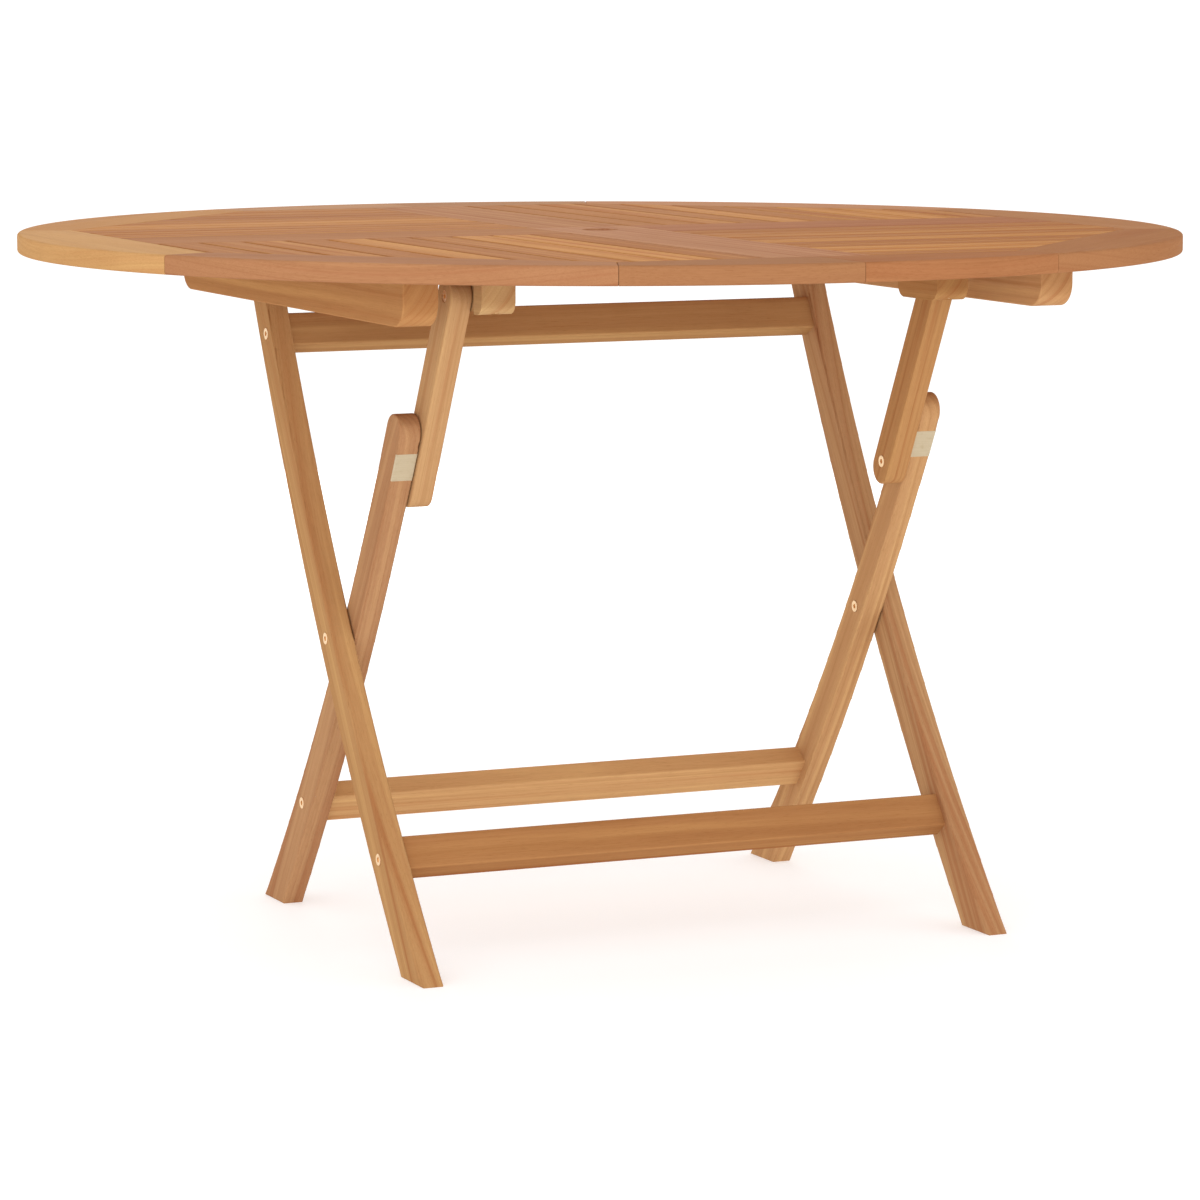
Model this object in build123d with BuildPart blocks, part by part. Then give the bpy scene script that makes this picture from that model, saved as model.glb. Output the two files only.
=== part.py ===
from build123d import *

import os
from math import atan2, cos, degrees, radians, sin

# Folding picnic table: a round slatted top carried by two crossed leg frames.
# Millimetres, +Z up, origin on the floor under the middle of the top.
# +X runs along the cross rails. The -Y side is the front, which folds down.

# ---------------------------------------------------------------- table top
top_height = 750.0
top_radius = 630.0
board_thickness = 20.0
rim_apothem = 530.0  # flat to centre of the eight-sided opening inside the rim
rim_side_count = 8
rim_edge_radius = 3.0
seam_gap = 0.5  # hairline between neighbouring rim boards
seam_chamfer = 0.8
centre_half_width = 58.0  # half the width of the boards that form the cross
parasol_radius = 20.0
slat_count = 10  # in each quarter of the top
slat_gap = 6.0
slat_edge_radius = 1.5
tongue_length = 8.0
tongue_thickness = 8.0
groove_clearance = 0.1
dowel_radius = 4.0
dowel_length = 50.0
dowel_ring_radius = 600.0

# ------------------------------------------------- pieces under the table top
batten_x = 341.0  # inner face of each batten
batten_width = 38.0
batten_height = 51.0
batten_front, batten_back = -371.0, 290.0
batten_corner_radius = 25.0
block_x = 240.0
block_width = 37.0
block_height = 44.0
block_front, block_back = -328.0, -240.0
block_corner_radius = 14.0
block_rebate_x = 265.0  # outer part of the block is cut back here for the strut
block_rebate_front = -307.0

# -------------------------------------------------------- pivots, as (y, z)
top_pivot = (159.5, 696.0)
cross_pivot = (-46.0, 326.0)
strut_low_pivot = (-156.0, 500.0)
strut_top_pivot = (-260.0, 702.0)

# --------------------------------------------------------- legs and struts
wood_thickness = 24.0
outer_leg_x = 316.0  # inner face of each outer leg
inner_leg_x = 291.0
strut_x = 266.0
below_floor = -30.0  # the leg's line is carried on below the floor, then cut flat
ground_depth = 100.0  # deep enough to take off all of a leg below the floor
outer_foot_end = (-311.0, below_floor)
inner_leg_top = (-180.0, 557.0)
inner_foot_end = (214.0, below_floor)
leg_top_width, leg_middle_width, leg_foot_width = 38.0, 39.5, 47.0
leg_edge_radius = 2.0
strut_width = 36.0
strut_overhang = 8.0  # how far the round end's centre lies past the low pivot
plate_length = 33.0
plate_thickness = 1.6
plate_edge_radius = 1.2
plate_from_top = 32.0  # along the inner leg, from the centre of its round top

# ------------------------------------------- cross rails, as (y, z) and lean
rail_thickness = 25.0
rail_edge_radius = 2.0
outer_top_rail = {"at": (128.5, 638.0), "lean": -27.5, "height": 38.0}
outer_low_rail = {"at": (-195.5, 113.0), "lean": -37.5, "height": 38.5}
inner_low_rail = {"at": (96.5, 124.0), "lean": 36.5, "height": 37.5}

# ------------------------------------------------------------- fasteners
head_radius = 6.25
head_thickness = 2.1
head_proud = 0.6
socket_across = 5.0
socket_depth = 1.6
clearance = 0.05  # radial, between a fastener and its hole
end_gap = 1.0  # left at the end of a tongue, a dowel or a blind fastener
cut_over = 1.0  # how far a cut, or a piece let into another, runs past the face it crosses
face_clearance = 0.3  # between a head and a piece that turns under it
pivot_radius = 4.0
core_radius = 2.5
core_hole_radius = 2.6
pin_end_gap = 4.0  # from a blind pin's tip to the far side of the wood
rail_bolt_radius = 3.0
rail_bolt_reach = 42.0
barrel_radius = 5.0
barrel_length = 14.0
barrel_depth = 32.0  # from the rail's end to the barrel nut's axis
screw_radius = 2.0
screw_head_radius = 4.2
screw_head_rim = 1.0
screw_slot = 1.0  # width and depth of the cross in a wood screw's head
screw_bite = 14.0  # how far a wood screw goes into the board above
screw_recess = 6.0
batten_screw_x = 360.0
block_screw_x = 258.0
block_screw_ys = (-317.0, -285.0)

# ---------------------------------------------------------- worked-out sizes
underside = top_height - board_thickness
middle_height = top_height - board_thickness / 2
tongue_low = middle_height - tongue_thickness / 2
slat_room = rim_apothem - centre_half_width
slat_width = (slat_room - (slat_count + 1) * slat_gap) / slat_count
slat_pitch = slat_width + slat_gap
first_slat = centre_half_width + slat_gap + slat_width / 2
slat_middles = [first_slat + i * slat_pitch for i in range(slat_count)]
batten_bottom = underside - batten_height
block_bottom = underside - block_height
# the batten screws go into the cross and into the middles of slats, counted from the cross
batten_screw_ys = [-slat_middles[5], -slat_middles[2], 0.0, slat_middles[1], slat_middles[3]]
# the strut's top bolt has its head sunk below the wood, clear of the inner leg
sunk_face_x = strut_x + wood_thickness - 2 * head_proud

os.makedirs("parts", exist_ok=True)


def save(part, name):
    """Label one finished piece and write it."""
    part.label = name
    export_step(part, f"parts/{name}.step")


def octagon(apothem, mode=Mode.ADD):
    """Eight-sided outline of the opening inside the rim, flats facing the axes."""
    RegularPolygon(apothem, rim_side_count, major_radius=False, rotation=180 / rim_side_count, mode=mode)


def disc(x, at, radius, length, mode=Mode.ADD):
    """Round bar along X, from x to x + length, about the point at in (y, z)."""
    with BuildSketch(Plane.YZ.offset(x)) as circle:
        with Locations(at):
            Circle(radius)
    extrude(circle.sketch, amount=length, mode=mode)


def headed_pin(face_x, at, side, radius, tip_x):
    """Flat-headed pin let into the face at face_x. side is the way its head looks along X."""
    top = face_x + side * head_proud
    disc(top, at, head_radius, -side * head_thickness)
    disc(face_x, at, radius, tip_x - face_x)
    with BuildSketch(Plane.YZ.offset(top)) as socket:
        with Locations(at):
            RegularPolygon(socket_across / 2, 6, major_radius=False)
    extrude(socket.sketch, amount=-side * socket_depth, mode=Mode.SUBTRACT)


def head_seat(face_x, at, side, hole_radius, turns=False):
    """Counterbore for a flat head in the face at face_x, and the hole behind it.

    A seat whose piece turns under the head is wider and deeper by face_clearance.
    """
    room = face_clearance if turns else clearance
    depth = head_thickness - head_proud + (face_clearance if turns else 0)
    start = face_x + side * head_thickness
    disc(start, at, head_radius + room, -side * (depth + head_thickness), Mode.SUBTRACT)
    disc(start, at, hole_radius, -side * 2 * wood_thickness, Mode.SUBTRACT)


def wood_screw_holes(x, ys, low):
    """Countersunk clearance and pilot holes for upright screws at x, from the face at low."""
    with Locations(*[(x, y, low) for y in ys]):
        Cylinder(
            screw_head_radius + clearance,
            screw_recess,
            align=(Align.CENTER, Align.CENTER, Align.MIN),
            mode=Mode.SUBTRACT,
        )
    pilot_holes(x, ys)


def pilot_holes(x, ys):
    """Holes for the screws' shanks, up into the boards of the top."""
    with Locations(*[(x, y, batten_bottom) for y in ys]):
        Cylinder(
            screw_radius + clearance,
            underside + screw_bite + end_gap - batten_bottom,
            align=(Align.CENTER, Align.CENTER, Align.MIN),
            mode=Mode.SUBTRACT,
        )


def all_pilot_holes():
    """Pilot holes of every upright screw, cut from whichever board is being made."""
    for side in (-1, 1):
        pilot_holes(side * batten_screw_x, batten_screw_ys)
        pilot_holes(side * block_screw_x, block_screw_ys)


# ================================================================ the rim
# Each rim board fills the space between the round edge and the eight-sided
# opening, over one side of it. The front and back ones are made in two halves.
rim_spans = {
    "rim_right": (-22.5, 22.5),
    "rim_back_right": (22.5, 67.5),
    "rim_back_half_right": (67.5, 90.0),
    "rim_back_half_left": (90.0, 112.5),
    "rim_back_left": (112.5, 157.5),
    "rim_left": (157.5, 202.5),
    "rim_front_left": (202.5, 247.5),
    "rim_front_half_left": (247.5, 270.0),
    "rim_front_half_right": (270.0, 292.5),
    "rim_front_right": (292.5, 337.5),
}
seam_angles = [start for start, _ in rim_spans.values()]


def seam_plane(angle):
    """Plane across the rim at a seam, its normal running along the edge."""
    place = Vector(cos(radians(angle)), sin(radians(angle))) * dowel_ring_radius
    along = (-sin(radians(angle)), cos(radians(angle)), 0)
    return Plane(origin=(place.X, place.Y, middle_height), z_dir=along)


for name, (start, end) in rim_spans.items():
    half = radians(end - start) / 2
    middle = radians(start + end) / 2
    apex = Vector(cos(middle), sin(middle)) * (seam_gap / 2 / sin(half))
    reach = 2 * top_radius
    corners = [apex + Vector(cos(radians(a)), sin(radians(a))) * reach for a in (start, end)]
    with BuildPart() as rim:
        with BuildSketch(Plane.XY.offset(underside)):
            Circle(top_radius)
            octagon(rim_apothem, mode=Mode.SUBTRACT)
            Polygon(apex, *corners, align=None, mode=Mode.INTERSECT)
        extrude(amount=board_thickness)
        straight_top = rim.edges().group_by(Axis.Z)[-1].filter_by(GeomType.LINE)
        chamfer(straight_top, seam_chamfer)
        outer_edges = rim.edges().filter_by(GeomType.CIRCLE).sort_by(SortBy.RADIUS)[-2:]
        fillet(outer_edges, rim_edge_radius)
        # groove for the tongues of the slats and centre boards
        with BuildSketch(Plane.XY.offset(tongue_low - groove_clearance)):
            octagon(rim_apothem + tongue_length + end_gap)
        extrude(amount=tongue_thickness + 2 * groove_clearance, mode=Mode.SUBTRACT)
        for angle in (start, end):
            with BuildSketch(seam_plane(angle)):
                Circle(dowel_radius + clearance)
            extrude(amount=dowel_length / 2 + end_gap, both=True, mode=Mode.SUBTRACT)
    save(rim.part, name)

with BuildPart() as rim_dowels:
    for angle in seam_angles:
        with BuildSketch(seam_plane(angle)):
            Circle(dowel_radius)
        extrude(amount=dowel_length / 2, both=True)
save(rim_dowels.part, "rim_dowels")

# =================================================== the cross and the slats
# Each arm of the cross has its own plane: x along the arm, y to its left.
# The quarter to its left holds slats that run square to the arm.
arm_angles = {"right": 0, "back": 90, "left": 180, "front": 270}
quarter_names = {
    "right": "back_right",
    "back": "back_left",
    "left": "front_left",
    "front": "front_right",
}


def arm_plane(angle, height):
    """Level plane at a height, turned so that its x axis runs out along an arm."""
    outward = (cos(radians(angle)), sin(radians(angle)), 0)
    return Plane(origin=(0, 0, height), x_dir=outward, z_dir=(0, 0, 1))


for arm, angle in arm_angles.items():
    # the front board runs on past the middle, and carries the parasol hole
    inner_end = -centre_half_width if arm == "front" else centre_half_width
    length = rim_apothem - inner_end
    with BuildPart() as centre_board:
        with BuildSketch(arm_plane(angle, underside)):
            with Locations((inner_end + length / 2, 0)):
                Rectangle(length, 2 * centre_half_width)
        extrude(amount=board_thickness)
        fillet(centre_board.edges().group_by(Axis.Z)[-1], slat_edge_radius)
        with BuildSketch(arm_plane(angle, tongue_low)):
            with Locations((rim_apothem - cut_over, 0)):
                Rectangle(
                    tongue_length + cut_over,
                    2 * centre_half_width - 2 * tongue_length,
                    align=(Align.MIN, Align.CENTER),
                )
        extrude(amount=tongue_thickness)
        with BuildSketch(arm_plane(angle, tongue_low - groove_clearance)):
            with Locations((centre_half_width, centre_half_width)):
                Rectangle(rim_apothem, tongue_length + end_gap, align=(Align.MIN, Align.MAX))
        extrude(amount=tongue_thickness + 2 * groove_clearance, mode=Mode.SUBTRACT)
        if arm == "front":
            with BuildSketch(Plane.XY.offset(underside)):
                Circle(parasol_radius)
            extrude(amount=board_thickness, mode=Mode.SUBTRACT)
        all_pilot_holes()
    save(centre_board.part, f"centre_board_{arm}")

    with BuildPart() as slats:
        for at_height, thickness, tongue in (
            (underside, board_thickness, 0.0),
            (tongue_low, tongue_thickness, tongue_length),
        ):
            with BuildSketch(arm_plane(angle, at_height)):
                with Locations(*[(middle, centre_half_width - tongue) for middle in slat_middles]):
                    Rectangle(slat_width, slat_room + 2 * tongue, align=(Align.CENTER, Align.MIN))
                octagon(rim_apothem + tongue, mode=Mode.INTERSECT)
            extrude(amount=thickness)
            if not tongue:
                fillet(slats.edges().group_by(Axis.Z)[-1], slat_edge_radius)
        all_pilot_holes()
    save(slats.part, f"slats_{quarter_names[arm]}")


# ============================================== battens and hinge blocks
sides = {"left": -1, "right": 1}

for name, side in sides.items():
    with BuildPart() as batten:
        with BuildSketch(Plane.YZ.offset(side * batten_x)) as outline:
            with Locations(((batten_front + batten_back) / 2, underside - batten_height / 2)):
                Rectangle(batten_back - batten_front, batten_height)
            fillet(outline.vertices().group_by(Axis.Y)[0], batten_corner_radius)
        extrude(amount=side * batten_width)
        fillet(batten.edges().group_by(Axis.Z)[0], leg_edge_radius)
        hole_depth = batten_width - pin_end_gap + cut_over
        inside = side * (batten_x - cut_over)
        disc(inside, top_pivot, pivot_radius + clearance, side * hole_depth, Mode.SUBTRACT)
        wood_screw_holes(side * batten_screw_x, batten_screw_ys, batten_bottom)
    save(batten.part, f"batten_{name}")

    with BuildPart() as hinge_block:
        with BuildSketch(Plane.YZ.offset(side * block_x)) as outline:
            with Locations(((block_front + block_back) / 2, underside - block_height / 2)):
                Rectangle(block_back - block_front, block_height)
            fillet(outline.vertices().group_by(Axis.Y)[0], block_corner_radius)
        extrude(amount=side * block_width)
        with BuildSketch(Plane.YZ.offset(side * block_rebate_x)):
            with Locations((block_rebate_front, block_bottom - cut_over)):
                Rectangle(-block_rebate_front, block_height + 2 * cut_over, align=Align.MIN)
        extrude(amount=side * block_width, mode=Mode.SUBTRACT)
        blind_end = side * (block_x + pin_end_gap - end_gap)
        disc(blind_end, strut_top_pivot, pivot_radius + clearance, side * block_width, Mode.SUBTRACT)
        wood_screw_holes(side * block_screw_x, block_screw_ys, block_bottom)
    save(hinge_block.part, f"hinge_block_{name}")


def wood_screw(x, y, low):
    """Upright countersunk wood screw whose head sits in the recess above the face at low."""
    tip = underside + screw_bite
    head_low = low + screw_recess - screw_head_radius
    with BuildSketch(Plane.XZ.offset(-y)) as half:
        with BuildLine():
            Polyline(
                (x, head_low),
                (x + screw_head_radius, head_low),
                (x + screw_head_radius, head_low + screw_head_rim),
                (x + screw_radius, low + screw_recess),
                (x + screw_radius, tip - 2 * screw_radius),
                (x, tip),
                close=True,
            )
        make_face()
    revolve(half.sketch, axis=Axis((x, y, 0), (0, 0, 1)))
    with BuildSketch(Plane.XY.offset(head_low)) as cross:
        with Locations((x, y)):
            Rectangle(screw_slot, screw_head_radius)
            Rectangle(screw_head_radius, screw_slot)
    extrude(cross.sketch, amount=screw_slot, mode=Mode.SUBTRACT)


for name, x, ys, low in (
    ("batten_screws", batten_screw_x, batten_screw_ys, batten_bottom),
    ("hinge_block_screws", block_screw_x, block_screw_ys, block_bottom),
):
    with BuildPart() as screws:
        for side in sides.values():
            for y in ys:
                wood_screw(side * x, y, low)
    save(screws.part, name)


# ================================================================== legs
def spine_of(top, foot_end):
    """Middle line of a curved leg in (y, z), from its round top to below the floor."""
    return ThreePointArc(top, cross_pivot, foot_end, mode=Mode.PRIVATE)


def beside(spine, t, across):
    """Point at the fraction t of a leg's middle line, moved square to it."""
    along = spine % t
    return spine @ t + Vector(-along.Y, along.X) * across


def leg_blank(x, side, spine):
    """Gently curved leg, round at the top and cut flat at the floor, with eased edges."""
    widths = (leg_top_width, leg_middle_width, leg_foot_width)
    with BuildSketch(Plane.YZ.offset(side * x)) as outline:
        with BuildLine():
            edges = []
            for hand in (-1, 1):
                points = [beside(spine, i / 2, hand * width / 2) for i, width in enumerate(widths)]
                edges.append(ThreePointArc(*points))
            crown = spine @ 0 - (spine % 0) * leg_top_width / 2
            ThreePointArc(edges[0] @ 0, crown, edges[1] @ 0)
            Line(edges[0] @ 1, edges[1] @ 1)
        make_face()
        Rectangle(4 * top_radius, ground_depth, align=(Align.CENTER, Align.MAX), mode=Mode.SUBTRACT)
    return extrude(outline.sketch, amount=side * wood_thickness)


def ease_sides(piece, radius):
    """Round every edge of the two broad faces of a piece that was pushed out along X."""
    flat_faces = piece.faces().filter_by(Axis.X).sort_by(Axis.X)
    fillet(flat_faces[0].edges() + flat_faces[-1].edges(), radius)


outer_spine = spine_of(top_pivot, outer_foot_end)
inner_spine = spine_of(inner_leg_top, inner_foot_end)
outer_rails = (outer_top_rail, outer_low_rail)

for name, side in sides.items():
    outer_face = side * (outer_leg_x + wood_thickness)
    with BuildPart() as outer_leg:
        leg_blank(outer_leg_x, side, outer_spine)
        ease_sides(outer_leg, leg_edge_radius)
        for rail in outer_rails:
            head_seat(outer_face, rail["at"], side, rail_bolt_radius + clearance)
        head_seat(outer_face, cross_pivot, side, pivot_radius + clearance)
        head_seat(side * outer_leg_x, top_pivot, -side, pivot_radius + clearance, turns=True)
    save(outer_leg.part, f"outer_leg_{name}")

# the metal plate lies in the front edge of the inner leg, near its top
plate_t = plate_from_top / inner_spine.length
plate_at = beside(inner_spine, plate_t, -(leg_top_width - plate_thickness) / 2)
plate_turn = degrees(atan2((inner_spine % plate_t).Y, (inner_spine % plate_t).X))

for name, side in sides.items():
    inner_face = side * inner_leg_x
    with BuildPart() as inner_leg:
        leg_blank(inner_leg_x, side, inner_spine)
        ease_sides(inner_leg, leg_edge_radius)
        outer_face = inner_face + side * wood_thickness
        head_seat(outer_face, inner_low_rail["at"], side, rail_bolt_radius + clearance)
        head_seat(inner_face, cross_pivot, -side, pivot_radius + clearance, turns=True)
        insert_depth = wood_thickness - pin_end_gap + end_gap
        disc(inner_face, strut_low_pivot, pivot_radius + clearance, side * insert_depth, Mode.SUBTRACT)
        with BuildSketch(Plane.YZ.offset(side * (inner_leg_x - cut_over))) as seat:
            with Locations(plate_at):
                Rectangle(
                    plate_length + 2 * clearance,
                    plate_thickness + 2 * clearance,
                    rotation=plate_turn,
                )
        extrude(seat.sketch, amount=side * (wood_thickness + 2 * cut_over), mode=Mode.SUBTRACT)
    save(inner_leg.part, f"inner_leg_{name}")

    with BuildPart() as lock_plate:
        with BuildSketch(Plane.YZ.offset(inner_face)) as strip:
            with Locations(plate_at):
                Rectangle(plate_length, plate_thickness, rotation=plate_turn)
        extrude(strip.sketch, amount=side * wood_thickness)
        front_face = lock_plate.faces().sort_by(SortBy.AREA)[-2:].sort_by(Axis.Y)[0]
        fillet(front_face.edges().filter_by(Axis.X, reverse=True), plate_edge_radius)
    save(lock_plate.part, f"lock_plate_{name}")


# ============================================================== cross rails
def thickness_plane(x, rail):
    """Plane through a rail's middle at x, its normal square to the rail's broad faces."""
    lean = radians(rail["lean"])
    return Plane(origin=(x, *rail["at"]), x_dir=(1, 0, 0), z_dir=(0, cos(lean), sin(lean)))


for name, rail, end_x in (
    ("outer_top_rail", outer_top_rail, outer_leg_x),
    ("outer_low_rail", outer_low_rail, outer_leg_x),
    ("inner_low_rail", inner_low_rail, inner_leg_x),
):
    with BuildPart() as cross_rail:
        with BuildSketch(Plane.YZ.offset(-end_x)) as section:
            with Locations(rail["at"]):
                Rectangle(rail_thickness, rail["height"], rotation=rail["lean"])
        extrude(section.sketch, amount=2 * end_x)
        fillet(cross_rail.edges().filter_by(Axis.X), rail_edge_radius)
        for side in sides.values():
            disc(
                side * (end_x + cut_over),
                rail["at"],
                rail_bolt_radius + clearance,
                -side * (rail_bolt_reach + cut_over + end_gap),
                Mode.SUBTRACT,
            )
            with BuildSketch(thickness_plane(side * (end_x - barrel_depth), rail)) as hole:
                Circle(barrel_radius + clearance)
            extrude(hole.sketch, amount=rail_thickness, mode=Mode.SUBTRACT)
            extrude(hole.sketch, amount=-(barrel_length / 2 + clearance), mode=Mode.SUBTRACT)
    save(cross_rail.part, name)

for name, rails, end_x in (
    ("outer_rail", outer_rails, outer_leg_x),
    ("inner_rail", (inner_low_rail,), inner_leg_x),
):
    with BuildPart() as rail_bolts:
        for rail in rails:
            for side in sides.values():
                face = side * (end_x + wood_thickness)
                headed_pin(face, rail["at"], side, rail_bolt_radius, side * (end_x - rail_bolt_reach))
    save(rail_bolts.part, f"{name}_bolts")

    with BuildPart() as barrel_nuts:
        for rail in rails:
            for side in sides.values():
                with BuildSketch(thickness_plane(side * (end_x - barrel_depth), rail)) as round_end:
                    Circle(barrel_radius)
                extrude(round_end.sketch, amount=barrel_length / 2, both=True)
                disc(
                    side * (end_x - barrel_depth - 2 * barrel_radius),
                    rail["at"],
                    rail_bolt_radius + 2 * clearance,
                    side * 4 * barrel_radius,
                    Mode.SUBTRACT,
                )
    save(barrel_nuts.part, f"{name}_barrel_nuts")

# ================================================================== struts
strut_line = Vector(*strut_low_pivot) - Vector(*strut_top_pivot)
strut_span = strut_line.length + strut_overhang
strut_middle = Vector(*strut_top_pivot) + strut_line.normalized() * strut_span / 2
strut_turn = degrees(atan2(strut_line.Y, strut_line.X))

for name, side in sides.items():
    with BuildPart() as strut:
        with BuildSketch(Plane.YZ.offset(side * strut_x)) as slot_shape:
            with Locations(strut_middle):
                SlotCenterToCenter(strut_span, strut_width, rotation=strut_turn)
        extrude(slot_shape.sketch, amount=side * wood_thickness)
        ease_sides(strut, leg_edge_radius)
        head_seat(side * strut_x, strut_low_pivot, -side, core_radius + clearance)
        head_seat(side * sunk_face_x, strut_top_pivot, side, pivot_radius + clearance, turns=True)
    save(strut.part, f"strut_{name}")

# ============================================================ pivot fasteners
with BuildPart() as top_pivot_bolts:
    for side in sides.values():
        tip = side * (batten_x + batten_width - 2 * pin_end_gap)
        headed_pin(side * outer_leg_x, top_pivot, -side, pivot_radius, tip)
save(top_pivot_bolts.part, "top_pivot_bolts")

with BuildPart() as strut_top_bolts:
    for side in sides.values():
        tip = side * (block_x + pin_end_gap)
        headed_pin(side * sunk_face_x, strut_top_pivot, side, pivot_radius, tip)
save(strut_top_bolts.part, "strut_top_bolts")

with BuildPart() as cross_pivot_bolts:
    for side in sides.values():
        face = side * (outer_leg_x + wood_thickness)
        headed_pin(face, cross_pivot, side, core_radius, side * (inner_leg_x + 3 * pin_end_gap))
save(cross_pivot_bolts.part, "cross_pivot_bolts")

with BuildPart() as cross_pivot_sleeves:
    for side in sides.values():
        face = side * inner_leg_x
        tip = side * (outer_leg_x + wood_thickness - pin_end_gap)
        headed_pin(face, cross_pivot, -side, pivot_radius, tip)
        disc(
            face + side * 2 * pin_end_gap,
            cross_pivot,
            core_hole_radius,
            side * 2 * wood_thickness,
            Mode.SUBTRACT,
        )
save(cross_pivot_sleeves.part, "cross_pivot_sleeves")

# The low strut pivot is a screw held by the strut and a threaded insert in the
# inner leg. Screw and insert meet in line between the two pieces of wood.
with BuildPart() as strut_low_screws:
    for side in sides.values():
        tip = side * (strut_x + wood_thickness - face_clearance)
        headed_pin(side * strut_x, strut_low_pivot, -side, core_radius, tip)
save(strut_low_screws.part, "strut_low_screws")

with BuildPart() as strut_low_inserts:
    for side in sides.values():
        start = side * (inner_leg_x + face_clearance)
        disc(start, strut_low_pivot, pivot_radius, side * (wood_thickness - 2 * pin_end_gap))
        disc(start, strut_low_pivot, core_hole_radius, side * wood_thickness / 2, Mode.SUBTRACT)
save(strut_low_inserts.part, "strut_low_inserts")
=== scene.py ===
"""Looks of the folding picnic table: oiled teak boards, metal fasteners, pale floor, soft studio light.

Metres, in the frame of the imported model: +X along the cross rails, -Y to the front, Z up from the floor.
"""

import itertools
import math

import bpy
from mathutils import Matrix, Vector


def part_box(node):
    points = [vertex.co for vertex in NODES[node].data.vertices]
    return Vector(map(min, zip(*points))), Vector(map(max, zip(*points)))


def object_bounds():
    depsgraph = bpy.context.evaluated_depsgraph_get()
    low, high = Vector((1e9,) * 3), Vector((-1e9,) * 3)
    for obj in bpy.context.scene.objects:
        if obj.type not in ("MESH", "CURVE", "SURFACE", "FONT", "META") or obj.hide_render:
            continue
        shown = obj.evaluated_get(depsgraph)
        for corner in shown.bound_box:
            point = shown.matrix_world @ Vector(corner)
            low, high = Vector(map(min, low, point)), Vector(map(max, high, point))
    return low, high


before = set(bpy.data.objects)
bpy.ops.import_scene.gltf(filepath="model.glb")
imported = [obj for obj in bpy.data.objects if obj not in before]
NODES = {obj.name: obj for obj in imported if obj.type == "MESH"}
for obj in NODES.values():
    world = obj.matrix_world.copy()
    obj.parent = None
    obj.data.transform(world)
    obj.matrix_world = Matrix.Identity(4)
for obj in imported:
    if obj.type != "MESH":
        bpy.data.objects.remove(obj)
cad_low, cad_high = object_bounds()

SCENE = bpy.context.scene
MM = 0.001

TABLE_HEIGHT = cad_high.z
TOP_RADIUS = cad_high.x
FLOOR_SIZE = 600.0
AXIS_X, AXIS_Y, AXIS_Z = Vector((1, 0, 0)), Vector((0, 1, 0)), Vector((0, 0, 1))


# ------------------------------------------------------------------ camera
CAMERA_BEARING = math.radians(24.13)  # how far to the left of the front it stands
CAMERA_DISTANCE = 5.192  # from the table's upright axis, along the floor
CAMERA_HEIGHT = 1.035
CAMERA_TILT = math.radians(7.59)
CAMERA_LENS = 142.9
SENSOR = 36.0


def make_camera():
    """Long lens, a little above the table top, looking down at the crossing of the legs."""
    data = bpy.data.cameras.new("camera")
    data.lens = CAMERA_LENS
    data.sensor_width = SENSOR
    data.clip_end = FLOOR_SIZE
    camera = bpy.data.objects.new("camera", data)
    SCENE.collection.objects.link(camera)
    camera.location = (
        -math.sin(CAMERA_BEARING) * CAMERA_DISTANCE,
        -math.cos(CAMERA_BEARING) * CAMERA_DISTANCE,
        CAMERA_HEIGHT,
    )
    camera.rotation_euler = (math.pi / 2 - CAMERA_TILT, 0, -CAMERA_BEARING)
    SCENE.camera = camera


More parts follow.
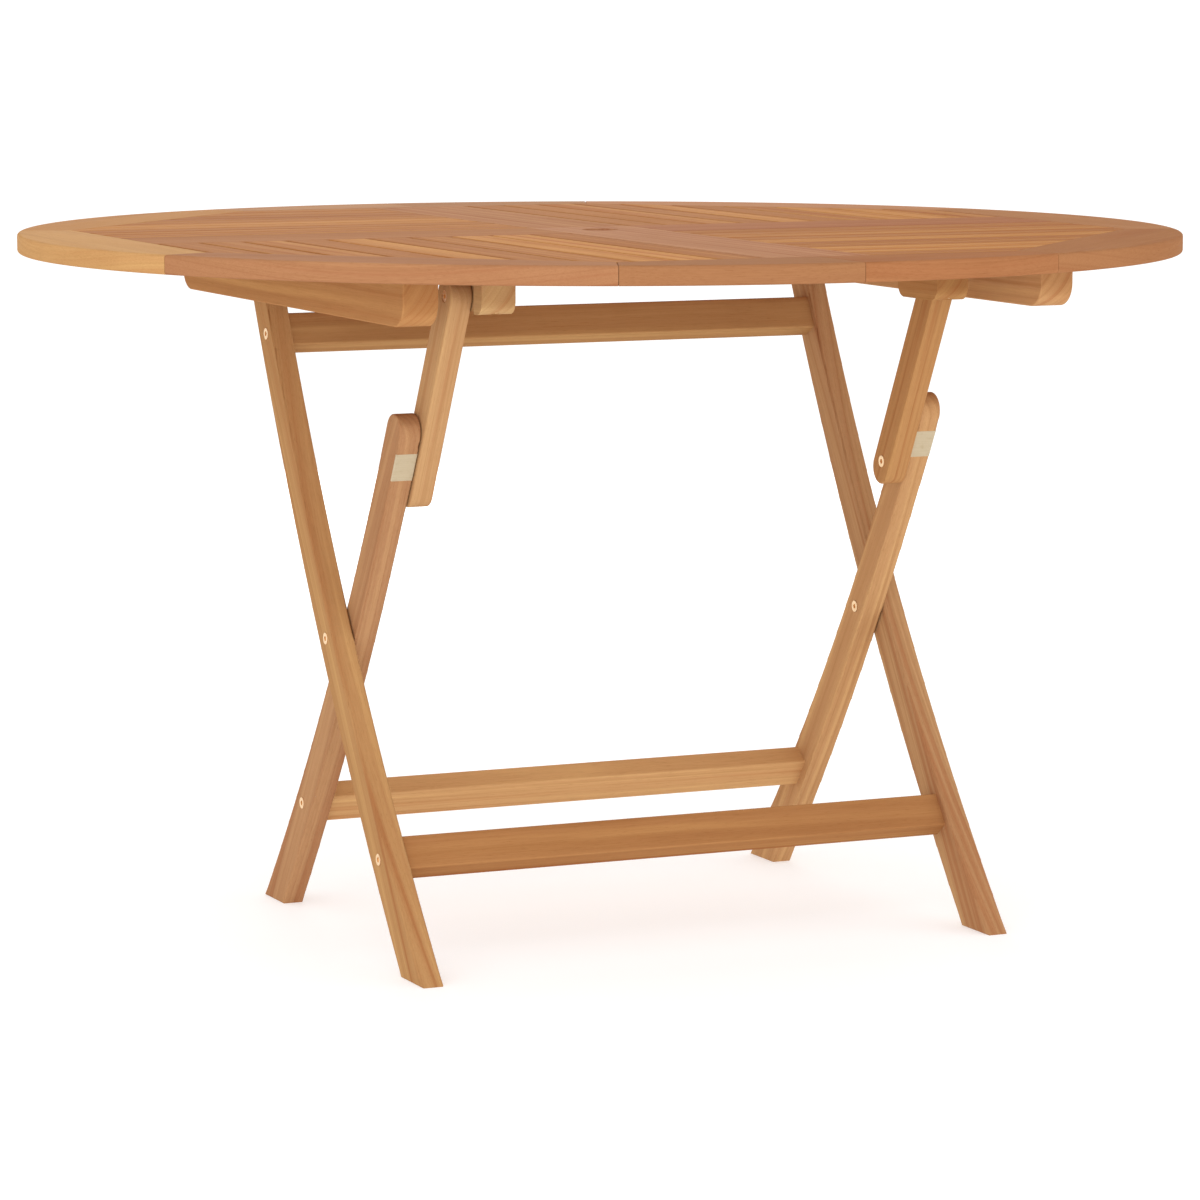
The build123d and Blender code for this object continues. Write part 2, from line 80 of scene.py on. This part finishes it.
# ------------------------------------------------------------- node helpers
class Graph:
    """Short names for making shader nodes and joining them."""

    def __init__(self, name):
        self.material = bpy.data.materials.new(name)
        self.material.use_nodes = True
        self.tree = self.material.node_tree
        self.shader = self.tree.nodes["Principled BSDF"]

    def feed(self, socket, value):
        """Join a socket to another node's output, or set its number, vector or colour."""
        if isinstance(value, bpy.types.NodeSocket):
            self.tree.links.new(value, socket)
        elif value is not None:
            socket.default_value = value

    def math(self, operation, a, b=None, c=None):
        node = self.tree.nodes.new("ShaderNodeMath")
        node.operation = operation
        for socket, value in zip(node.inputs, (a, b, c)):
            self.feed(socket, value)
        return node.outputs[0]

    def vector(self, operation, a, b=None):
        node = self.tree.nodes.new("ShaderNodeVectorMath")
        node.operation = operation
        for socket, value in zip(node.inputs, (a, b)):
            self.feed(socket, value)
        return node.outputs["Value" if operation in ("DOT_PRODUCT", "LENGTH") else "Vector"]

    def combine(self, x, y, z):
        node = self.tree.nodes.new("ShaderNodeCombineXYZ")
        for socket, value in zip(node.inputs, (x, y, z)):
            self.feed(socket, value)
        return node.outputs[0]

    def noise(self, vector, detail=2.0, roughness=0.5, scale=1.0):
        node = self.tree.nodes.new("ShaderNodeTexNoise")
        node.inputs["Scale"].default_value = scale
        node.inputs["Detail"].default_value = detail
        node.inputs["Roughness"].default_value = roughness
        self.feed(node.inputs["Vector"], vector)
        return node.outputs[0]

    def spread(self, value, low, high, to_low=0.0, to_high=1.0):
        """Stretch the values between low and high over another range, and clamp them there."""
        node = self.tree.nodes.new("ShaderNodeMapRange")
        node.interpolation_type = "SMOOTHSTEP"
        for socket, number in zip(node.inputs, (value, low, high, to_low, to_high)):
            self.feed(socket, number)
        return node.outputs[0]

    def mix(self, factor, a, b, blend="MIX"):
        node = self.tree.nodes.new("ShaderNodeMix")
        node.data_type = "RGBA"
        node.blend_type = blend
        self.feed(node.inputs["Factor"], factor)
        self.feed(node.inputs["A"], a)
        self.feed(node.inputs["B"], b)
        return node.outputs["Result"]

    def steps(self, value, levels):
        """Staircase of levels, one for each equal part of 0 to 1."""
        node = self.tree.nodes.new("ShaderNodeValToRGB")
        ramp = node.color_ramp
        ramp.interpolation = "CONSTANT"
        while len(ramp.elements) < len(levels):
            ramp.elements.new(1.0)
        for i, level in enumerate(levels):
            ramp.elements[i].position = i / len(levels)
            ramp.elements[i].color = grey(level)
        self.feed(node.inputs[0], value)
        return node.outputs[0]

    def bump(self, height, strength, distance):
        node = self.tree.nodes.new("ShaderNodeBump")
        node.inputs["Strength"].default_value = strength
        node.inputs["Distance"].default_value = distance
        self.feed(node.inputs["Height"], height)
        self.feed(self.shader.inputs["Normal"], node.outputs[0])

    def position(self):
        """Place on the node, in metres in the frame of the whole table."""
        return self.tree.nodes.new("ShaderNodeTexCoord").outputs["Object"]

    def facing(self):
        """Way the surface looks."""
        return self.tree.nodes.new("ShaderNodeTexCoord").outputs["Normal"]


def linear(rgb):
    """Scene-linear colour of a display colour given as 0 to 255."""
    return (*(((value / 255 + 0.055) / 1.055) ** 2.4 for value in rgb), 1.0)


def grey(level):
    """Scene-linear grey."""
    return (level, level, level, 1.0)


# ------------------------------------------------------------------- slats
SLAT_LIGHT = (194, 138, 84)
SLAT_DARK = (168, 114, 74)
SLAT_COUNT = 10  # in each quarter of the top
SLAT_GAP = 6 * MM
RIM_WIDTH = 100 * MM  # from the round edge to the slats, at the middle of a board
CROSS_HALF_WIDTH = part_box("centre_board_left")[1].y
SLAT_START = CROSS_HALF_WIDTH + SLAT_GAP / 2  # each slat has half a gap on both sides of it
SLAT_PITCH = (TOP_RADIUS - RIM_WIDTH - SLAT_GAP - CROSS_HALF_WIDTH) / SLAT_COUNT


# ------------------------------------------------------------------- teak
RING_WIDTH = 3.2 * MM  # spacing of the growth rings
BAND_WIDTH = 9.0 * MM  # pinkish and yellowish bands, several rings wide
BAND_DRIFT = 0.8  # how fast bands and rings change along the board
FIBRE_LENGTH, FIBRE_WIDTH = 45 * MM, 0.9 * MM
PORE_LENGTH, PORE_WIDTH = 12 * MM, 0.5 * MM
CLOUD_LENGTH, CLOUD_WIDTH = 300 * MM, 60 * MM
SLOW_WANDER = (900 * MM, 200 * MM, 12 * MM)  # cell length and width, and how far the rings stray
FAST_WANDER = (160 * MM, 30 * MM, 1.2 * MM)
BOARD_SHIFT = 0.37  # metres of the log between one piece of wood and the next
SLAT_SHIFT = 0.73  # and between one slat and the next
QUARTER_SAWN = (0.080, 0.055)  # from the board's middle to the pith, across and through it
FLAT_SAWN = (0.012, 0.120)
PINK_BAND = (0.82, 0.64, 0.58, 1)  # shares of the board's own tone
YELLOW_BAND = (1.18, 1.28, 1.26, 1)
LATE_WOOD = (0.84, 0.78, 0.73, 1)
DARK_FIBRE = (0.86, 0.82, 0.78, 1)
DARK_PORE = (0.66, 0.58, 0.50, 1)
CLOUD = (0.93, 0.90, 0.88, 1)
END_GRAIN = (0.80, 0.75, 0.70, 1)

# how strongly each layer shows in the colour
BANDS_SHOW, RINGS_SHOW, FIBRES_SHOW, PORES_SHOW, CLOUDS_SHOW, ENDS_SHOW = 0.9, 0.5, 0.6, 0.5, 0.8, 0.6

# oiled, not varnished: hardly any gloss
OILED_ROUGHNESS = 0.66
OILED_GLOSS = 0.008
GRAIN_RELIEF = 0.2 * MM
GRAIN_BUMP = 0.25


def teak(node, along, across, tone, seed, pith=QUARTER_SAWN, figure=1.0, slats=None):
    """Oiled teak whose bands, rings, fibres and pores run through the solid of one node.

    along is the way the grain runs and across a way square to it. tone is a display colour.
    pith is where the middle of the log lies and figure is how strongly the bands show.
    slats, a list of lightness levels counted outward along across, colours each slat by itself.
    """
    g = Graph("teak_" + node)
    along = along.normalized()
    across = (across - along * across.dot(along)).normalized()
    low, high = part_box(node)
    place = g.vector("SUBTRACT", g.position(), (low + high) / 2)
    run = g.vector("DOT_PRODUCT", place, along)
    side = g.vector("DOT_PRODUCT", place, across)
    depth = g.vector("DOT_PRODUCT", place, along.cross(across))

    # every board, and every slat, is cut from another stretch of the log
    if slats:
        outward = g.vector("DOT_PRODUCT", g.position(), across)
        number = g.math("FLOOR", g.math("DIVIDE", g.math("SUBTRACT", outward, SLAT_START), SLAT_PITCH))
        level = g.steps(g.math("DIVIDE", g.math("ADD", number, 0.5), len(slats)), slats)
        base = g.mix(level, linear(SLAT_DARK), linear(SLAT_LIGHT))
        middle = g.math("MULTIPLY_ADD", g.math("ADD", number, 0.5), SLAT_PITCH, SLAT_START)
        side = g.math("SUBTRACT", outward, middle)
        shift = g.math("MULTIPLY_ADD", number, SLAT_SHIFT, seed * BOARD_SHIFT)
    else:
        base = linear(tone)
        shift = seed * BOARD_SHIFT
    run = g.math("ADD", run, shift)

    def grain(lengthwise, crosswise, detail=2.0, roughness=0.5):
        """Noise stretched along the grain: the size of its cells along and across."""
        vector = g.combine(
            g.math("DIVIDE", run, lengthwise),
            g.math("DIVIDE", side, crosswise),
            g.math("DIVIDE", depth, crosswise),
        )
        return g.noise(vector, detail, roughness)

    # bands and rings follow the distance from the pith, which wanders along the board
    radius = g.vector("LENGTH", g.combine(0.0, g.math("ADD", side, pith[0]), g.math("ADD", depth, pith[1])))
    for lengthwise, crosswise, stray in (SLOW_WANDER, FAST_WANDER):
        radius = g.math("MULTIPLY_ADD", grain(lengthwise, crosswise), stray, radius)

    def layers(width, detail, roughness=0.5):
        """Noise that changes with the distance from the pith, and slowly along the board."""
        drift = g.math("MULTIPLY", run, BAND_DRIFT)
        return g.noise(g.combine(g.math("DIVIDE", radius, width), drift, shift), detail, roughness)

    bands = layers(BAND_WIDTH, 3.0, 0.6)
    late_wood = g.spread(layers(RING_WIDTH, 2.0), 0.48, 0.70)
    fibre = grain(FIBRE_LENGTH, FIBRE_WIDTH, 3.0, 0.6)
    pore = g.spread(grain(PORE_LENGTH, PORE_WIDTH, 1.0), 0.62, 0.76)
    cloud = grain(CLOUD_LENGTH, CLOUD_WIDTH, 3.0)

    banding = BANDS_SHOW * figure
    colour = g.mix(g.spread(bands, 0.50, 0.26, 0.0, banding), base, PINK_BAND, "MULTIPLY")
    colour = g.mix(g.spread(bands, 0.50, 0.74, 0.0, banding), colour, YELLOW_BAND, "MULTIPLY")
    colour = g.mix(g.math("MULTIPLY", late_wood, RINGS_SHOW), colour, LATE_WOOD, "MULTIPLY")
    colour = g.mix(g.spread(fibre, 0.35, 0.72, 0.0, FIBRES_SHOW), colour, DARK_FIBRE, "MULTIPLY")
    colour = g.mix(g.math("MULTIPLY", pore, PORES_SHOW), colour, DARK_PORE, "MULTIPLY")
    colour = g.mix(g.spread(cloud, 0.42, 0.70, 0.0, CLOUDS_SHOW), colour, CLOUD, "MULTIPLY")

    # cut ends drink more oil: darker and rougher
    end_grain = g.spread(g.math("ABSOLUTE", g.vector("DOT_PRODUCT", g.facing(), along)), 0.75, 0.97)
    colour = g.mix(g.math("MULTIPLY", end_grain, ENDS_SHOW), colour, END_GRAIN, "MULTIPLY")
    g.feed(g.shader.inputs["Base Color"], colour)

    rough = g.math("MULTIPLY_ADD", late_wood, -0.06, OILED_ROUGHNESS)
    rough = g.math("MULTIPLY_ADD", pore, 0.14, rough)
    rough = g.math("MULTIPLY_ADD", cloud, 0.10, rough)
    rough = g.math("MULTIPLY_ADD", end_grain, 0.12, rough)
    g.feed(g.shader.inputs["Roughness"], rough)
    g.shader.inputs["Specular IOR Level"].default_value = OILED_GLOSS

    height = g.math("MULTIPLY_ADD", late_wood, 0.3, g.math("MULTIPLY", fibre, 0.5))
    height = g.math("MULTIPLY_ADD", pore, -0.7, height)
    g.bump(height, GRAIN_BUMP, GRAIN_RELIEF)
    return g.material


# ------------------------------------------------------------------ metals
STEEL_TONE = (242, 208, 164)
STEEL_ROUGHNESS = 0.26
TURNING_MARKS = (300.0, 2600.0, 2600.0)  # cells per metre, longest along the bolts
TARNISH = (0.72, 0.66, 0.58, 1)  # share of the metal's own tone
TARNISH_PATCH = (3.0, 3.0, 3.0)  # the stretch of noise that it follows

PLATE_TONE = (194, 178, 148)
PLATE_METALLIC = 0.35
PLATE_ROUGHNESS = 0.38
BRUSH_MARKS = (50.0, 1800.0, 1800.0)  # cells per metre, longest across the leg
BRUSH_SHADE = (0.88, 0.86, 0.82, 1)  # shares of the plate's own tone
WEAR = (0.80, 0.74, 0.64, 1)

MARK_DEPTH = 0.05 * MM


def plated_steel():
    """Zinc-plated steel with fine turning marks and a little tarnish."""
    g = Graph("plated_steel")
    place = g.position()
    tarnish = g.noise(g.vector("ADD", place, TARNISH_PATCH), detail=4.0, scale=260.0)
    marks = g.noise(g.vector("MULTIPLY", place, TURNING_MARKS), detail=2.0)
    colour = g.mix(g.spread(tarnish, 0.45, 0.75, 0.0, 0.55), linear(STEEL_TONE), TARNISH, "MULTIPLY")
    g.feed(g.shader.inputs["Base Color"], colour)
    g.shader.inputs["Metallic"].default_value = 1.0
    g.feed(g.shader.inputs["Roughness"], g.math("MULTIPLY_ADD", tarnish, 0.22, STEEL_ROUGHNESS))
    g.bump(g.math("MULTIPLY_ADD", tarnish, 0.4, marks), 0.25, MARK_DEPTH)
    return g.material


def brushed_plate():
    """Pale anodised plate, brushed across the leg."""
    g = Graph("brushed_plate")
    place = g.position()
    brush = g.noise(g.vector("MULTIPLY", place, BRUSH_MARKS), detail=2.0)
    wear = g.noise(place, detail=5.0, scale=140.0)
    colour = g.mix(g.spread(brush, 0.3, 0.7, 0.0, 0.5), linear(PLATE_TONE), BRUSH_SHADE, "MULTIPLY")
    colour = g.mix(g.spread(wear, 0.5, 0.8, 0.0, 0.5), colour, WEAR, "MULTIPLY")
    g.feed(g.shader.inputs["Base Color"], colour)
    g.shader.inputs["Metallic"].default_value = PLATE_METALLIC
    g.feed(g.shader.inputs["Roughness"], g.math("MULTIPLY_ADD", brush, 0.2, PLATE_ROUGHNESS))
    g.bump(brush, 0.2, MARK_DEPTH)
    return g.material


# ------------------------------------------------- what each piece is made of
# lightness of each slat, counted out from the cross
SLAT_LEVELS = {
    "slats_front_left": (-AXIS_X, (0.15, 0.95, 0.90, 0.32, 0.18, 0.78, 0.15, 0.55, 0.30, 0.15)),
    "slats_back_right": (AXIS_X, (0.15, 0.32, 0.52, 0.12, 0.78, 0.15, 0.34, 0.85, 0.80, 0.30)),
    "slats_back_left": (AXIS_Y, (0.30, 0.42, 0.22, 0.72, 0.70, 0.30, 0.12, 0.12, 0.35, 0.50)),
    "slats_front_right": (-AXIS_Y, (0.15, 0.22, 0.42, 0.18, 0.68, 0.18, 0.24, 0.80, 0.70, 0.28)),
}

RIM_FIGURE = 0.5  # the rim shows weaker bands than the other wood
DOWEL_TONE = (214, 180, 132)

# way out from the middle of the table to the middle of each rim board, in degrees, and its tone
RIM_BOARDS = {
    "rim_right": (0, (174, 125, 87)),
    "rim_back_right": (45, (184, 134, 98)),
    "rim_back_half_right": (79, (172, 126, 90)),
    "rim_back_half_left": (101, (178, 132, 96)),
    "rim_back_left": (135, (186, 136, 87)),
    "rim_left": (180, (197, 151, 99)),
    "rim_front_left": (225, (170, 120, 84)),
    "rim_front_half_left": (259, (160, 111, 75)),
    "rim_front_half_right": (281, (166, 112, 74)),
    "rim_front_right": (315, (166, 115, 77)),
}

CENTRE_BOARDS = {
    "centre_board_left": (AXIS_X, (172, 120, 80)),
    "centre_board_right": (AXIS_X, (168, 114, 81)),
    "centre_board_front": (AXIS_Y, (178, 128, 94)),
    "centre_board_back": (AXIS_Y, (174, 123, 85)),
}


def leaning(y, z):
    """Direction in the plane of a leg, given as a run forward or back and a rise."""
    return Vector((0, y, z)).normalized()


OUTER_LEAN, INNER_LEAN, STRUT_LEAN = leaning(0.447, 0.696), leaning(-0.37, 0.557), leaning(-0.104, 0.202)

FRAME_WOOD = {
    "outer_leg_left": (OUTER_LEAN, (182, 138, 92)),
    "outer_leg_right": (OUTER_LEAN, (180, 138, 98)),
    "inner_leg_left": (INNER_LEAN, (175, 130, 93)),
    "inner_leg_right": (INNER_LEAN, (189, 144, 100)),
    "strut_left": (STRUT_LEAN, (191, 149, 105)),
    "strut_right": (STRUT_LEAN, (181, 134, 87)),
    "outer_top_rail": (AXIS_X, (175, 131, 86)),
    "outer_low_rail": (AXIS_X, (169, 119, 75)),
    "inner_low_rail": (AXIS_X, (202, 157, 108)),
    "batten_left": (AXIS_Y, (184, 134, 86)),
    "batten_right": (AXIS_Y, (196, 149, 103)),
    "hinge_block_left": (AXIS_Y, (194, 156, 110)),
    "hinge_block_right": (AXIS_Y, (176, 130, 83)),
}

HARDWARE = (
    "outer_rail_bolts",
    "inner_rail_bolts",
    "cross_pivot_bolts",
    "cross_pivot_sleeves",
    "top_pivot_bolts",
    "strut_top_bolts",
    "strut_low_screws",
    "strut_low_inserts",
    "outer_rail_barrel_nuts",
    "inner_rail_barrel_nuts",
    "batten_screws",
    "hinge_block_screws",
)


def finish_with(node, material):
    """Give a CAD node its material, in every slot it has."""
    slots = NODES[node].data.materials
    if not slots:
        slots.append(material)
    for i in range(len(slots)):
        slots[i] = material


def dress_table():
    """Make one material for each piece of wood, and the metals."""
    seeds = itertools.count(1)
    for node, (angle, tone) in RIM_BOARDS.items():
        out = Vector((math.cos(math.radians(angle)), math.sin(math.radians(angle)), 0))
        wood = teak(node, out.cross(AXIS_Z), out, tone, next(seeds), FLAT_SAWN, RIM_FIGURE)
        finish_with(node, wood)
    for node, (along, tone) in CENTRE_BOARDS.items():
        finish_with(node, teak(node, along, along.cross(AXIS_Z), tone, next(seeds)))
    for node, (outward, levels) in SLAT_LEVELS.items():
        finish_with(node, teak(node, outward.cross(AXIS_Z), outward, None, next(seeds), slats=levels))
    for node, (along, tone) in FRAME_WOOD.items():
        across = AXIS_Z if along == AXIS_X else AXIS_X
        finish_with(node, teak(node, along, across, tone, next(seeds)))
    finish_with("rim_dowels", teak("rim_dowels", AXIS_Y, AXIS_X, DOWEL_TONE, next(seeds)))

    steel = plated_steel()
    for node in HARDWARE:
        finish_with(node, steel)
    plate = brushed_plate()
    for node in ("lock_plate_left", "lock_plate_right"):
        finish_with(node, plate)


# ------------------------------------------------------- floor, light, world
FLOOR_TONE = 0.62
FLOOR_MOTTLE = 0.03  # how much lighter its palest patches are
FLOOR_GLOW = 0.46  # the floor gives off light, so that some reaches the underside of the table
WORLD_STRENGTH = 1.05


def make_floor():
    """Plain pale floor that runs out to the horizon."""
    bpy.ops.mesh.primitive_plane_add(size=FLOOR_SIZE, location=(0, 0, cad_low.z))
    floor = bpy.context.object
    floor.name = "floor"
    g = Graph("pale_floor")
    cloud = g.noise(g.position(), detail=3.0, scale=1.5)
    tone = g.mix(cloud, grey(FLOOR_TONE), grey(FLOOR_TONE + FLOOR_MOTTLE))
    g.feed(g.shader.inputs["Base Color"], tone)
    g.shader.inputs["Roughness"].default_value = 0.9
    g.shader.inputs["Specular IOR Level"].default_value = 0.1
    g.shader.inputs["Emission Color"].default_value = (1, 1, 1, 1)
    g.shader.inputs["Emission Strength"].default_value = FLOOR_GLOW
    floor.data.materials.append(g.material)


def area_light(name, place, size, power):
    """Large soft round lamp that looks at the middle of the table."""
    data = bpy.data.lights.new(name, "AREA")
    data.shape = "DISK"
    data.size = size
    data.energy = power
    lamp = bpy.data.objects.new(name, data)
    SCENE.collection.objects.link(lamp)
    lamp.location = place
    aim = Vector((0, 0, TABLE_HEIGHT / 2))
    lamp.rotation_euler = (aim - lamp.location).to_track_quat("-Z", "Y").to_euler()


def make_light():
    """Even white surroundings, a soft key from the upper left and low fills in front and behind."""
    area_light("key", (-3.6, -2.6, 3.4), 3.0, 20)
    area_light("low_fill", (-1.6, -4.3, 0.75), 2.4, 60)
    area_light("side_fill", (3.8, -1.6, 1.0), 2.4, 12)
    area_light("back_fill", (1.2, 4.4, 0.9), 2.4, 45)
    world = bpy.data.worlds.new("surroundings")
    world.use_nodes = True
    background = world.node_tree.nodes["Background"]
    background.inputs["Color"].default_value = (1, 1, 1, 1)
    background.inputs["Strength"].default_value = WORLD_STRENGTH
    SCENE.world = world
    SCENE.view_settings.view_transform = "Standard"
    SCENE.view_settings.look = "None"


make_camera()
dress_table()
make_floor()
make_light()
